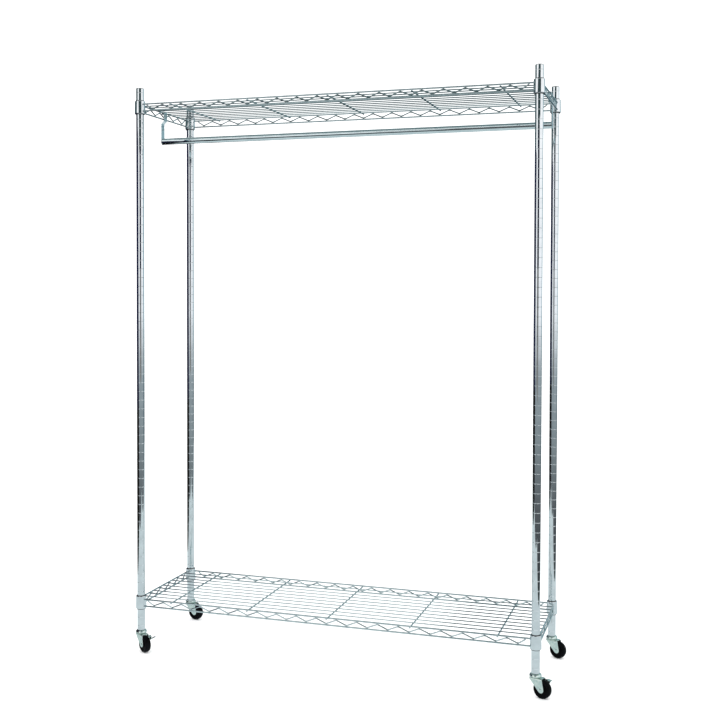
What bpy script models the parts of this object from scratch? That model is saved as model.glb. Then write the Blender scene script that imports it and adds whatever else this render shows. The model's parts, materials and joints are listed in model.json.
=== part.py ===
"""Rolling clothes rack: two welded wire shelves on four grooved posts, a hanging rod, four casters.

Metres, +Z up. The origin is on the floor, under the middle of the rack. The rack is wide along X and
faces -Y. Every wire shelf grips its posts through split tapered sleeves, every post is two tubes on a
connector stud, and the two front casters carry a side brake lever.
"""

import math

import bmesh
import bpy
from mathutils import Matrix, Vector

MM = 0.001
GROOVE_PITCH = 0.0254
TOUCH_GAP = 0.3 * MM  # left between pieces that touch
FULL_TURN = 2 * math.pi

# Posts: two tubes end to end on a stud, grooved once a pitch where a sleeve can snap in
POST_X = 576 * MM  # post axis from the middle of the rack
POST_Y = 160 * MM
POST_R = 11.1 * MM
POST_BORE_R = 9.9 * MM
POST_FOOT_Z = 63 * MM  # also the height of a caster
JOINT_Z = POST_FOOT_Z + 31.5 * GROOVE_PITCH
POST_TOP_Z = JOINT_Z + 30.5 * GROOVE_PITCH
GROOVE_DEPTH = 0.6 * MM
GROOVE_WIDTH = 3 * MM
ROUND_SIDES = 12
STUD_REACH = 25 * MM  # into each tube
CAP_HEIGHT = 2 * MM
CAP_TOP_R = 8.4 * MM
CAP_PLUG = 12 * MM
SOCKET_HEIGHT = 24 * MM
PLUG_R = POST_BORE_R - TOUCH_GAP

# Shelves: heights are measured up from the lower edge of the corner collars
COLLAR_HEIGHT = 37 * MM
COLLAR_FOOT_R = 15.4 * MM
COLLAR_HEAD_R = 15.0 * MM
BOTTOM_COLLAR_Z = 125.5 * MM
TOP_COLLAR_Z = 1565 * MM
LOWER_RIM_Z = 8 * MM
UPPER_RIM_Z = 27.5 * MM
RIM_OUTSET = 6.5 * MM  # rim wires run this far outside the line between post axes
RIM_END = 12.9 * MM  # rim wires stop this far from the post axis, inside the collar wall
RIM_R = 2.3 * MM
CROSS_R = 2.1 * MM
CROSS_COUNT = 5
CROSS_SPACING = 238 * MM
CROSS_OVERHANG = 2 * MM  # past the rim it is welded under
DECK_R = 1.4 * MM
DECK_COUNT = 10
DECK_SPACING = 29.25 * MM
TRUSS_R = 1.6 * MM
LONG_VALLEYS = 19
SHORT_VALLEYS = 5
FIRST_VALLEY = 45 * MM  # from the post axis
TRUSS_END = 26 * MM
WELD_SINK = 0.8 * MM  # how deep one welded wire sits in another

# Split sleeves: a cone between post and collar, with a bead that sits in a groove
SLEEVE_OVERHANG = 1.8 * MM
SLEEVE_TOP_R = 12.5 * MM
SLEEVE_FOOT_R = 13.3 * MM
SLEEVE_BORE_R = POST_R + TOUCH_GAP
BOTTOM_GROOVE = -28  # which groove each shelf sits on, counted from the post joint
TOP_GROOVE = 28
SPLIT_WIDTH = 0.8 * MM

# Hanging rod and the straps that carry it
ROD_Z = 1506.5 * MM
ROD_R = 9.5 * MM
ROD_BORE_R = 8.3 * MM
ROD_REACH = 586.5 * MM
STRAP_THICKNESS = 2 * MM
STRAP_WIDTH = 19 * MM
STRAP_EYE_R = 10 * MM
STRAP_X = ROD_REACH + TOUCH_GAP + STRAP_THICKNESS / 2
SPIGOT_R = ROD_BORE_R - TOUCH_GAP
SPIGOT_LENGTH = 20 * MM
JOG_LOW_Z = 1559 * MM
JOG_HIGH_Z = 1569 * MM
HOOK_TIP_DROP = 5 * MM
HOOK_STEPS = 6

# Casters, in each one's own frame: forward is the way the wheel trails, left is to the side of the brake
WHEEL_R = 24.5 * MM
WHEEL_HALF_WIDTH = 8.5 * MM
WHEEL_SIDES = 20
HUB_R = 7 * MM
HUB_HALF_WIDTH = 9.3 * MM
WEB_HALF_WIDTH = 6.5 * MM
WHEEL_RIM_R = 17 * MM
TREAD_ROUNDING = 2.5 * MM
TRAIL = 20.5 * MM
AXLE_R = 2.4 * MM
AXLE_HOLE_R = AXLE_R + TOUCH_GAP
RIVET_HEAD_R = 3.8 * MM
RIVET_HEAD_HEIGHT = 1.3 * MM
LEG_INNER = 9.7 * MM
LEG_THICKNESS = 1.8 * MM
LEG_OUTER = LEG_INNER + LEG_THICKNESS
LEG_END_R = 8 * MM
CROWN_TOP_Z = 53 * MM
CROWN_THICKNESS = 2 * MM
CROWN_FRONT = 23 * MM
CROWN_BACK = -12 * MM
RACE_TOP_Z = 57.2 * MM
RACE_FOOT_R = 13.6 * MM
RACE_TOP_R = 11.2 * MM
KINGPIN_R = 4 * MM
KINGPIN_HEAD_R = 7 * MM
KINGPIN_HEAD_Z = 48.2 * MM
DOME_FOOT_Z = 55 * MM
DOME_R = 16.4 * MM
DOME_BORE_R = 14.2 * MM
DOME_SHOULDER_R = 12.5 * MM
STEM_R = 5 * MM
STEM_TOP_Z = 84 * MM
CASTER_SIDES = 12
CASTER_HEADINGS = {"front_left": -32, "front_right": -19, "back_left": -9, "back_right": -20}

# Brake lever of a front caster
BRAKE_PIVOT = (19 * MM, 42 * MM)
BRAKE_PIN_R = 2 * MM
BRAKE_BOSS_R = 4.6 * MM
BRAKE_THICKNESS = 1.6 * MM
BRAKE_INNER = LEG_OUTER + TOUCH_GAP
BRAKE_SHOE = (34.3 * MM, 48.6 * MM)
BRAKE_SHOE_LENGTH = 6 * MM
BRAKE_SHOE_REACH = 3 * MM  # over the outer third of the tread
BRAKE_TAB = (31.5 * MM, 38.5 * MM)
BRAKE_TAB_LENGTH = 5 * MM
BRAKE_TAB_REACH = 28.5 * MM
BRAKE_TAB_RISE = 4 * MM

CORNERS = {
    "front_left": (-POST_X, -POST_Y),
    "front_right": (POST_X, -POST_Y),
    "back_left": (-POST_X, POST_Y),
    "back_right": (POST_X, POST_Y),
}


def clear_scene():
    for old in list(bpy.data.objects):
        bpy.data.objects.remove(old)


def new_collection(name):
    collection = bpy.data.collections.new(name)
    bpy.context.scene.collection.children.link(collection)
    return collection


def new_material(name, color, metallic, roughness):
    material = bpy.data.materials.new(name)
    material.use_nodes = True
    shader = material.node_tree.nodes["Principled BSDF"]
    shader.inputs["Base Color"].default_value = (*color, 1)
    shader.inputs["Metallic"].default_value = metallic
    shader.inputs["Roughness"].default_value = roughness
    return material


clear_scene()
PARTS = new_collection("rolling_clothes_rack")
CUTTERS = new_collection("cutters")
CHROME = new_material("chrome", (0.72, 0.76, 0.78), 1.0, 0.12)
ZINC = new_material("zinc", (0.62, 0.74, 0.72), 1.0, 0.35)
SLEEVE_PLASTIC = new_material("sleeve_plastic", (0.015, 0.015, 0.017), 0.0, 0.45)
CAP_PLASTIC = new_material("cap_plastic", (0.03, 0.03, 0.035), 0.0, 0.4)
SOCKET_PLASTIC = new_material("socket_plastic", (0.05, 0.05, 0.055), 0.0, 0.5)
WHEEL_RUBBER = new_material("wheel_rubber", (0.012, 0.012, 0.014), 0.0, 0.5)


def add_object(name, data, material, location=(0, 0, 0)):
    piece = bpy.data.objects.new(name, data)
    data.materials.clear()
    data.materials.append(material)
    piece.location = location
    PARTS.objects.link(piece)
    return piece


def make_helper(piece):
    """Takes a cutter or a joined-in shape out of the model."""
    piece.hide_render = True
    piece.display_type = "WIRE"
    PARTS.objects.unlink(piece)
    CUTTERS.objects.link(piece)
    return piece


def shade_round(mesh):
    mesh.shade_smooth()
    mesh.set_sharp_from_angle(angle=math.radians(35))


def evaluated_mesh(piece):
    """The piece's mesh with its modifiers applied and any loose curve caps welded."""
    graph = bpy.context.evaluated_depsgraph_get()
    mesh = bpy.data.meshes.new_from_object(piece.evaluated_get(graph))
    welded = bmesh.new()
    welded.from_mesh(mesh)
    bmesh.ops.remove_doubles(welded, verts=welded.verts, dist=0.001 * MM)
    welded.to_mesh(mesh)
    welded.free()
    return mesh


def turned(name, profile, sides, material, location=(0, 0, 0), closed=False):
    """A solid of revolution about Z. The profile is (radius, height) points, down the outer side."""
    mesh = bpy.data.meshes.new(name)
    edges = [(i, i + 1) for i in range(len(profile) - 1)]
    if closed:
        edges.append((len(profile) - 1, 0))
    mesh.from_pydata([(r, 0, z) for r, z in profile], edges, [])
    piece = add_object(name, mesh, material, location)
    screw = piece.modifiers.new("turn", "SCREW")
    screw.angle = FULL_TURN
    screw.steps = sides
    screw.render_steps = sides
    screw.use_merge_vertices = True
    screw.merge_threshold = 0.001 * MM
    return piece


def baked(piece):
    """Replaces a helper's modifiers by the mesh they give, so that others can be built on it."""
    bpy.context.view_layer.update()
    mesh = evaluated_mesh(piece)
    piece.modifiers.clear()
    material = piece.data.materials[0]
    if piece.type == "CURVE":
        solid = add_object(piece.name + "_solid", mesh, material)
        solid.matrix_world = piece.matrix_world
        bpy.data.objects.remove(piece)
        return solid
    piece.data = mesh
    return piece


def combine(piece, other, operation="UNION", tangled=False):
    """Joins or cuts with a helper. A tangled helper is many overlapping bodies in one mesh."""
    boolean = piece.modifiers.new(other.name, "BOOLEAN")
    boolean.operation = operation
    boolean.object = other
    boolean.use_self = tangled
    return piece


def box(name, low, high, material):
    solid = bmesh.new()
    bmesh.ops.create_cube(solid, size=1)
    size = Vector(high) - Vector(low)
    bmesh.ops.scale(solid, vec=size, verts=solid.verts)
    bmesh.ops.translate(solid, vec=(Vector(low) + Vector(high)) / 2, verts=solid.verts)
    mesh = bpy.data.meshes.new(name)
    solid.to_mesh(mesh)
    solid.free()
    return add_object(name, mesh, material)


def plate(name, outline, holes, thickness, material):
    """A flat plate: a filled 2D outline in its own XY plane, extruded evenly about that plane."""
    curve = bpy.data.curves.new(name, "CURVE")
    curve.dimensions = "2D"
    curve.fill_mode = "BOTH"
    curve.extrude = thickness / 2
    for loop in [outline, *holes]:
        spline = curve.splines.new("POLY")
        spline.points.add(len(loop) - 1)
        for point, (x, y) in zip(spline.points, loop):
            point.co = (x, y, 0, 1)
        spline.use_cyclic_u = True
    return add_object(name, curve, material)


def arc(center, radius, start, end, steps):
    """Points on an arc, angles in degrees."""
    turns = [math.radians(start + (end - start) * i / steps) for i in range(steps + 1)]
    return [(center[0] + radius * math.cos(a), center[1] + radius * math.sin(a)) for a in turns]


def circle(center, radius, sides):
    return arc(center, radius, 0, 360, sides)[:-1]


def wires(name, paths, sides_setting, tilt):
    """One mesh of many wires. Each path is (radius, points); a tilt of 45 degrees turns a side up."""
    curve = bpy.data.curves.new(name, "CURVE")
    curve.dimensions = "3D"
    curve.bevel_depth = 1
    curve.bevel_resolution = sides_setting
    curve.use_fill_caps = True
    curve.twist_mode = "Z_UP"
    for radius, points in paths:
        spline = curve.splines.new("POLY")
        spline.points.add(len(points) - 1)
        for point, place in zip(spline.points, points):
            point.co = (*place, 1)
            point.radius = radius
            point.tilt = tilt
    return make_helper(baked(add_object(name, curve, CHROME)))


# Posts


def tube_profile(low, high, groove_z):
    """Outer wall down past one groove, and back up the bore."""
    floor_r = POST_R - GROOVE_DEPTH
    return [
        (POST_R, high),
        (POST_R, groove_z + GROOVE_WIDTH / 2),
        (floor_r, groove_z + GROOVE_WIDTH / 4),
        (floor_r, groove_z - GROOVE_WIDTH / 4),
        (POST_R, groove_z - GROOVE_WIDTH / 2),
        (POST_R, low),
        (POST_BORE_R, low),
        (POST_BORE_R, high),
    ]


def groove_height(count):
    return JOINT_Z + count * GROOVE_PITCH


def make_post(corner, x, y):
    place = (x, y, 0)
    half_gap = TOUCH_GAP / 2
    lower = tube_profile(POST_FOOT_Z, JOINT_Z - half_gap, groove_height(BOTTOM_GROOVE))
    upper = tube_profile(JOINT_Z + half_gap, POST_TOP_Z, groove_height(TOP_GROOVE))
    turned("post_lower_" + corner, lower, ROUND_SIDES, CHROME, place, closed=True)
    turned("post_upper_" + corner, upper, ROUND_SIDES, CHROME, place, closed=True)
    stud = [
        (0, JOINT_Z + STUD_REACH),
        (PLUG_R, JOINT_Z + STUD_REACH),
        (PLUG_R, JOINT_Z - STUD_REACH),
        (0, JOINT_Z - STUD_REACH),
    ]
    turned("post_joint_stud_" + corner, stud, ROUND_SIDES, ZINC, place)
    rim_z = POST_TOP_Z + TOUCH_GAP
    cap = [
        (0, POST_TOP_Z + CAP_HEIGHT + TOUCH_GAP),
        (CAP_TOP_R, POST_TOP_Z + CAP_HEIGHT),
        (POST_R, rim_z + CAP_HEIGHT / 4),
        (POST_R, rim_z),
        (PLUG_R, rim_z),
        (PLUG_R, POST_TOP_Z - CAP_PLUG),
        (0, POST_TOP_Z - CAP_PLUG),
    ]
    turned("post_cap_" + corner, cap, ROUND_SIDES, CAP_PLASTIC, place)
    bore = STEM_R + TOUCH_GAP
    socket = [
        (PLUG_R, POST_FOOT_Z + SOCKET_HEIGHT),
        (PLUG_R, POST_FOOT_Z),
        (bore, POST_FOOT_Z),
        (bore, POST_FOOT_Z + SOCKET_HEIGHT),
    ]
    turned("post_socket_" + corner, socket, ROUND_SIDES, SOCKET_PLASTIC, place, closed=True)


# Shelves


def truss_points(post_reach, valleys, peak_z, valley_z):
    """(distance along the side, height) of a zigzag that starts and ends at the upper rim."""
    first = post_reach - FIRST_VALLEY
    spacing = 2 * first / (valleys - 1)
    points = [(-(post_reach - TRUSS_END), peak_z)]
    for i in range(valleys):
        points.append((-first + i * spacing, valley_z))
        if i < valleys - 1:
            points.append((-first + (i + 0.5) * spacing, peak_z))
    points.append((post_reach - TRUSS_END, peak_z))
    return points


def rim_paths(collar_z):
    paths = []
    x_end = POST_X - RIM_END
    y_end = POST_Y - RIM_END
    for z in (collar_z + LOWER_RIM_Z, collar_z + UPPER_RIM_Z):
        for side in (-1, 1):
            y = side * (POST_Y + RIM_OUTSET)
            paths.append((RIM_R, [(-x_end, y, z), (x_end, y, z)]))
            x = side * (POST_X + RIM_OUTSET)
            paths.append((RIM_R, [(x, -y_end, z), (x, y_end, z)]))
    return paths


def infill_paths(collar_z):
    """Zigzags between the rims, cross wires under the upper rims and deck wires on the cross wires."""
    weld = RIM_R + TRUSS_R - WELD_SINK
    peak_z = collar_z + UPPER_RIM_Z - weld
    valley_z = collar_z + LOWER_RIM_Z + weld
    paths = []
    for side in (-1, 1):
        y = side * (POST_Y + RIM_OUTSET)
        points = truss_points(POST_X, LONG_VALLEYS, peak_z, valley_z)
        paths.append((TRUSS_R, [(along, y, z) for along, z in points]))
        x = side * (POST_X + RIM_OUTSET)
        points = truss_points(POST_Y, SHORT_VALLEYS, peak_z, valley_z)
        paths.append((TRUSS_R, [(x, along, z) for along, z in points]))
    cross_z = collar_z + UPPER_RIM_Z - RIM_R - CROSS_R + WELD_SINK
    reach = POST_Y + RIM_OUTSET + CROSS_OVERHANG
    for i in range(CROSS_COUNT):
        x = (i - (CROSS_COUNT - 1) / 2) * CROSS_SPACING
        paths.append((CROSS_R, [(x, -reach, cross_z), (x, reach, cross_z)]))
    deck_z = cross_z + CROSS_R / math.sqrt(2) + DECK_R / math.sqrt(2) - WELD_SINK / 2
    reach = POST_X + RIM_OUTSET
    for i in range(DECK_COUNT):
        y = (i - (DECK_COUNT - 1) / 2) * DECK_SPACING
        paths.append((DECK_R * math.sqrt(2), [(-reach, y, deck_z), (reach, y, deck_z)]))
    return paths


def sleeve_cone():
    """(upper radius, lower radius) of the sleeve's cone where it leaves the collar at top and bottom."""
    slope = (SLEEVE_FOOT_R - SLEEVE_TOP_R) / COLLAR_HEIGHT
    extra = slope * SLEEVE_OVERHANG
    return SLEEVE_TOP_R - extra, SLEEVE_FOOT_R + extra


def make_shelf(name, collar_z):
    bore_top, bore_foot = SLEEVE_TOP_R + TOUCH_GAP, SLEEVE_FOOT_R + TOUCH_GAP
    chamfer = 1.2 * MM
    profile = [
        (COLLAR_HEAD_R - chamfer / 2, COLLAR_HEIGHT),
        (COLLAR_HEAD_R, COLLAR_HEIGHT - chamfer),
        (COLLAR_FOOT_R, chamfer * 2),
        (COLLAR_FOOT_R - chamfer, 0),
        (bore_foot, 0),
        (bore_top, COLLAR_HEIGHT),
    ]
    shelf = turned(name, profile, ROUND_SIDES, CHROME, (POST_X, POST_Y, collar_z), closed=True)
    middle = bpy.data.objects.new(name + "_middle", None)
    middle.location = (0, 0, collar_z)
    CUTTERS.objects.link(middle)
    mirror = shelf.modifiers.new("four corners", "MIRROR")
    mirror.use_axis = (True, True, False)
    mirror.mirror_object = middle
    mirror.use_mirror_merge = False
    combine(shelf, wires(name + "_rims", rim_paths(collar_z), 1, 0))
    infill = wires(name + "_infill", infill_paths(collar_z), 0, math.pi / 4)
    combine(shelf, infill, tangled=True)


# Sleeves


def sleeve_mesh(collar_z, groove_z):
    """Half a sleeve, in the post's own XY frame, on the +Y side of the split."""
    low = collar_z - SLEEVE_OVERHANG
    high = collar_z + COLLAR_HEIGHT + SLEEVE_OVERHANG
    top_r, foot_r = sleeve_cone()
    bead_r = SLEEVE_BORE_R - GROOVE_DEPTH
    half_bead = GROOVE_WIDTH / 2 - TOUCH_GAP
    profile = [
        (top_r, high),
        (foot_r, low),
        (SLEEVE_BORE_R, low),
        (SLEEVE_BORE_R, groove_z - half_bead),
        (bead_r, groove_z - half_bead / 3),
        (bead_r, groove_z + half_bead / 3),
        (SLEEVE_BORE_R, groove_z + half_bead),
        (SLEEVE_BORE_R, high),
    ]
    ring = turned("sleeve_ring", profile, ROUND_SIDES, SLEEVE_PLASTIC, closed=True)
    reach = 2 * foot_r
    gap = SPLIT_WIDTH / 2
    cut = box("sleeve_cut", (-reach, -reach, low - reach), (reach, gap, high + reach), SLEEVE_PLASTIC)
    combine(ring, make_helper(cut), "DIFFERENCE")
    half = baked(make_helper(ring)).data
    shade_round(half)
    bpy.data.objects.remove(ring)
    bpy.data.objects.remove(cut)
    return half


def make_sleeves(shelf_name, collar_z, groove):
    half = sleeve_mesh(collar_z, groove_height(groove))
    for corner, (x, y) in CORNERS.items():
        for side, turn in (("back", 0), ("front", math.pi)):
            name = f"sleeve_{shelf_name}_{corner}_{side}_half"
            piece = add_object(name, half, SLEEVE_PLASTIC, (x, y, 0))
            piece.rotation_euler.z = turn


# Hanging rod


def strap_path():
    """Centre line of a right-hand strap in (x, z), from the rod's axis up and over the side rim."""
    rim_x = POST_X + RIM_OUTSET
    rim_z = TOP_COLLAR_Z + UPPER_RIM_Z
    bend_r = RIM_R + TOUCH_GAP + STRAP_THICKNESS / 2
    points = [(STRAP_X, ROD_Z), (STRAP_X, JOG_LOW_Z), (rim_x - bend_r, JOG_HIGH_Z)]
    points += arc((rim_x, rim_z), bend_r, 180, 0, HOOK_STEPS)
    points.append((rim_x + bend_r, rim_z - HOOK_TIP_DROP))
    return points


def make_hanger(name, side):
    """A strap hooked over the side rim. Its eye is welded to a spigot that plugs into the rod."""
    half = STRAP_WIDTH / 2
    path = strap_path()
    strip = bpy.data.meshes.new(name)
    vertices = [(side * x, y, z) for x, z in path for y in (-half, half)]
    faces = [(2 * i, 2 * i + 1, 2 * i + 3, 2 * i + 2) for i in range(len(path) - 1)]
    strip.from_pydata(vertices, [], faces)
    strap = add_object(name, strip, CHROME)
    thicken = strap.modifiers.new("strap", "SOLIDIFY")
    thicken.thickness = STRAP_THICKNESS
    thicken.offset = 0
    thicken.use_even_offset = True
    outer = STRAP_X + STRAP_THICKNESS / 2
    inner = STRAP_X - STRAP_THICKNESS / 2
    profile = [
        (0, outer),
        (STRAP_EYE_R, outer),
        (STRAP_EYE_R, inner),
        (SPIGOT_R, inner),
        (SPIGOT_R, inner - SPIGOT_LENGTH),
        (0, inner - SPIGOT_LENGTH),
    ]
    eye = turned(name + "_eye", profile, ROUND_SIDES, CHROME, (0, 0, ROD_Z))
    eye.rotation_euler.y = side * math.pi / 2
    combine(strap, make_helper(eye))


def make_rod():
    profile = [
        (ROD_R, ROD_REACH),
        (ROD_R, -ROD_REACH),
        (ROD_BORE_R, -ROD_REACH),
        (ROD_BORE_R, ROD_REACH),
    ]
    rod = turned("hanging_rod", profile, ROUND_SIDES, CHROME, (0, 0, ROD_Z), closed=True)
    rod.rotation_euler.y = math.pi / 2
    make_hanger("rod_hanger_left", -1)
    make_hanger("rod_hanger_right", 1)


# Casters


def caster_frame(corner):
    """An empty on the swivel axis, turned so that its +X is the way the wheel trails."""
    x, y = CORNERS[corner]
    frame = bpy.data.objects.new("caster_swivel_" + corner, None)
    frame.location = (x, y, 0)
    frame.rotation_euler.z = math.radians(CASTER_HEADINGS[corner])
    PARTS.objects.link(frame)
    return frame


def make_stem(corner, frame):
    """The threaded stem, its domed upper race and the riveted kingpin under the fork's crown."""
    dome_top = POST_FOOT_Z - TOUCH_GAP
    roof = RACE_TOP_Z + TOUCH_GAP
    profile = [
        (0, STEM_TOP_Z),
        (STEM_R, STEM_TOP_Z),
        (STEM_R, dome_top),
        (DOME_SHOULDER_R, dome_top),
        (DOME_R, roof),
        (DOME_R, DOME_FOOT_Z),
        (DOME_BORE_R, DOME_FOOT_Z),
        (DOME_BORE_R, roof),
        (KINGPIN_R, roof),
        (KINGPIN_R, CROWN_TOP_Z - CROWN_THICKNESS - TOUCH_GAP),
        (KINGPIN_HEAD_R, CROWN_TOP_Z - CROWN_THICKNESS - TOUCH_GAP),
        (KINGPIN_HEAD_R, KINGPIN_HEAD_Z),
        (0, KINGPIN_HEAD_Z),
    ]
    stem = turned("caster_stem_" + corner, profile, CASTER_SIDES, ZINC)
    stem.parent = frame


def stand_up(piece, side_offset):
    """Turns a plate's own (x, y) into the caster's (forward, height), at that distance to the side."""
    piece.matrix_world = Matrix.Translation((0, side_offset, 0)) @ Matrix.Rotation(math.pi / 2, 4, "X")
    return baked(piece)


def leg_outline():
    axle = (TRAIL, WHEEL_R)
    lean = 4 * MM  # the trailing edge leans back from the crown down to the axle
    points = [(CROWN_FRONT, CROWN_TOP_Z), (CROWN_BACK, CROWN_TOP_Z), (CROWN_BACK, CROWN_TOP_Z - 4 * MM)]
    points += arc(axle, LEG_END_R, 215, 370, 7)
    points.append((CROWN_FRONT + lean / 2, (CROWN_TOP_Z + WHEEL_R) / 2))
    return points


def make_fork(corner, frame, with_brake):
    """Crown, lower race and two legs in one pressing, with the brake's pin where there is a brake."""
    crown_low = CROWN_TOP_Z - CROWN_THICKNESS
    race = [
        (RACE_TOP_R, RACE_TOP_Z),
        (RACE_FOOT_R, CROWN_TOP_Z + 1.5 * MM),
        (RACE_FOOT_R, crown_low),
        (KINGPIN_R + TOUCH_GAP, crown_low),
        (KINGPIN_R + TOUCH_GAP, RACE_TOP_Z),
    ]
    name = "caster_fork_" + corner
    fork = turned(name, race, CASTER_SIDES, ZINC, closed=True)
    crown = box(
        name + "_crown",
        (CROWN_BACK, -LEG_OUTER, crown_low),
        (CROWN_FRONT, LEG_OUTER, CROWN_TOP_Z),
        ZINC,
    )
    hole = turned(
        name + "_kingpin_hole",
        [
            (0, RACE_TOP_Z + MM),
            (KINGPIN_R + TOUCH_GAP, RACE_TOP_Z + MM),
            (KINGPIN_R + TOUCH_GAP, crown_low - MM),
            (0, crown_low - MM),
        ],
        CASTER_SIDES,
        ZINC,
    )
    combine(crown, make_helper(hole), "DIFFERENCE")
    combine(fork, make_helper(crown))
    hole_outline = circle((TRAIL, WHEEL_R), AXLE_HOLE_R, 8)
    for side in (-1, 1):
        leg = plate(name + "_leg", leg_outline(), [hole_outline], LEG_THICKNESS, ZINC)
        leg = stand_up(leg, side * (LEG_INNER + LEG_THICKNESS / 2))
        combine(fork, make_helper(leg))
    if with_brake:
        pin = turned(
            name + "_brake_pin",
            [
                (0, BRAKE_THICKNESS + 3 * TOUCH_GAP),
                (BRAKE_PIN_R, BRAKE_THICKNESS + 3 * TOUCH_GAP),
                (BRAKE_PIN_R, -LEG_THICKNESS / 2),
                (0, -LEG_THICKNESS / 2),
            ],
            8,
            ZINC,
        )
        place = Matrix.Translation((BRAKE_PIVOT[0], LEG_OUTER, BRAKE_PIVOT[1]))
        pin.matrix_world = place @ Matrix.Rotation(-math.pi / 2, 4, "X")
        combine(fork, make_helper(pin))
    bpy.context.view_layer.update()
    fork.data = evaluated_mesh(fork)
    fork.modifiers.clear()
    fork.parent = frame


def make_axle(corner, frame):
    """A rivet across the fork with a flat head outside each leg."""
    head_in = LEG_OUTER + TOUCH_GAP
    head_out = head_in + RIVET_HEAD_HEIGHT
    profile = [
        (0, head_out),
        (RIVET_HEAD_R, head_in + RIVET_HEAD_HEIGHT / 3),
        (RIVET_HEAD_R, head_in),
        (AXLE_R, head_in),
        (AXLE_R, -head_in),
        (RIVET_HEAD_R, -head_in),
        (RIVET_HEAD_R, -head_in - RIVET_HEAD_HEIGHT / 3),
        (0, -head_out),
    ]
    axle = turned("wheel_axle_" + corner, profile, 8, ZINC, (TRAIL, 0, WHEEL_R))
    axle.rotation_euler.x = math.pi / 2
    axle.parent = frame


def make_wheel(corner, frame):
    """A wheel whose lowest side is flat on the floor: its corners stand out a little past WHEEL_R."""
    tread_r = WHEEL_R / math.cos(math.pi / WHEEL_SIDES)
    half = WHEEL_HALF_WIDTH
    profile = [
        (HUB_R, HUB_HALF_WIDTH),
        (HUB_R + MM, WEB_HALF_WIDTH),
        (WHEEL_RIM_R, WEB_HALF_WIDTH),
        (WHEEL_RIM_R + MM, half),
        (tread_r - TREAD_ROUNDING, half),
        (tread_r, half - TREAD_ROUNDING),
    ]
    bore = [(AXLE_HOLE_R, -HUB_HALF_WIDTH), (AXLE_HOLE_R, HUB_HALF_WIDTH)]
    mirrored = [(r, -z) for r, z in reversed(profile)]
    section = profile + mirrored + bore
    center = (TRAIL, 0, WHEEL_R)
    wheel = turned("wheel_" + corner, section, WHEEL_SIDES, WHEEL_RUBBER, center, closed=True)
    wheel.rotation_euler = (math.pi / 2, math.pi / WHEEL_SIDES, 0)
    wheel.parent = frame


def make_brake(corner, frame):
    """A side lever on the fork's pin: an outward tab for the foot and an inward shoe above the tread."""
    middle = BRAKE_INNER + BRAKE_THICKNESS / 2
    tab_x, tab_z = BRAKE_TAB
    shoe_x, shoe_z = BRAKE_SHOE
    outline = arc(BRAKE_PIVOT, BRAKE_BOSS_R, 75, 285, 7)
    outline += [
        (tab_x - BRAKE_TAB_LENGTH / 2, tab_z - 1.5 * MM),
        (tab_x + BRAKE_TAB_LENGTH / 2, tab_z - 1.5 * MM),
        (shoe_x + 2.6 * MM, shoe_z - 2.6 * MM),
        (shoe_x - 2.4 * MM, shoe_z + 1.2 * MM),
    ]
    hole = circle(BRAKE_PIVOT, BRAKE_PIN_R + TOUCH_GAP, 8)
    name = "brake_lever_" + corner
    lever = stand_up(plate(name, outline, [hole], BRAKE_THICKNESS, ZINC), middle)
    lever.name = name
    half = BRAKE_THICKNESS / 2
    tab_run = BRAKE_TAB_REACH - middle
    tab = box(
        name + "_tab",
        (-BRAKE_TAB_LENGTH / 2, -half, -half),
        (BRAKE_TAB_LENGTH / 2, math.hypot(tab_run, BRAKE_TAB_RISE), half),
        ZINC,
    )
    rise = Matrix.Rotation(math.atan2(BRAKE_TAB_RISE, tab_run), 4, "X")
    tab.matrix_world = Matrix.Translation((tab_x, middle, tab_z)) @ rise
    combine(lever, make_helper(tab))
    shoe = box(
        name + "_shoe",
        (-BRAKE_SHOE_LENGTH / 2, BRAKE_SHOE_REACH, -half),
        (BRAKE_SHOE_LENGTH / 2, BRAKE_INNER + BRAKE_THICKNESS - 0.2 * MM, half),
        ZINC,
    )
    lean = math.atan2(shoe_x - TRAIL, shoe_z - WHEEL_R)
    shoe.matrix_world = Matrix.Translation((shoe_x, 0, shoe_z)) @ Matrix.Rotation(lean, 4, "Y")
    combine(lever, make_helper(shoe))
    bpy.context.view_layer.update()
    lever.data = evaluated_mesh(lever)
    lever.modifiers.clear()
    to_pivot = Vector((BRAKE_PIVOT[0], middle, BRAKE_PIVOT[1]))
    lever.data.transform(Matrix.Translation(-to_pivot) @ lever.matrix_world)
    lever.matrix_world = Matrix.Translation(to_pivot)
    lever.parent = frame


def make_caster(corner):
    frame = caster_frame(corner)
    braked = corner.startswith("front")
    make_stem(corner, frame)
    make_fork(corner, frame, braked)
    make_axle(corner, frame)
    make_wheel(corner, frame)
    if braked:
        make_brake(corner, frame)


def main():
    for corner, (x, y) in CORNERS.items():
        make_post(corner, x, y)
        make_caster(corner)
    make_shelf("bottom_shelf", BOTTOM_COLLAR_Z)
    make_shelf("top_shelf", TOP_COLLAR_Z)
    make_sleeves("bottom", BOTTOM_COLLAR_Z, BOTTOM_GROOVE)
    make_sleeves("top", TOP_COLLAR_Z, TOP_GROOVE)
    make_rod()
    for piece in PARTS.objects:
        if piece.type == "MESH" and piece.data.polygons:
            shade_round(piece.data)


main()
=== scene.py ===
"""Looks of the rolling clothes rack: fine posts, wire shelves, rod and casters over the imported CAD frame.

Sizes are in metres in the CAD frame. Where a piece sits comes from the CAD boxes. What is listed here is the
fine form that the CAD solids leave out: groove rows, round wire, rolled edges, rivets and treads. Deck and
zigzag wires are slightly thicker than in the CAD, and the grooves are narrower and shallower. The reflection
cards and the tinted half of the world are placed for the front camera, so other views reflect differently.
"""

import json
import math

import bmesh
import bpy
from mathutils import Matrix, Vector


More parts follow.
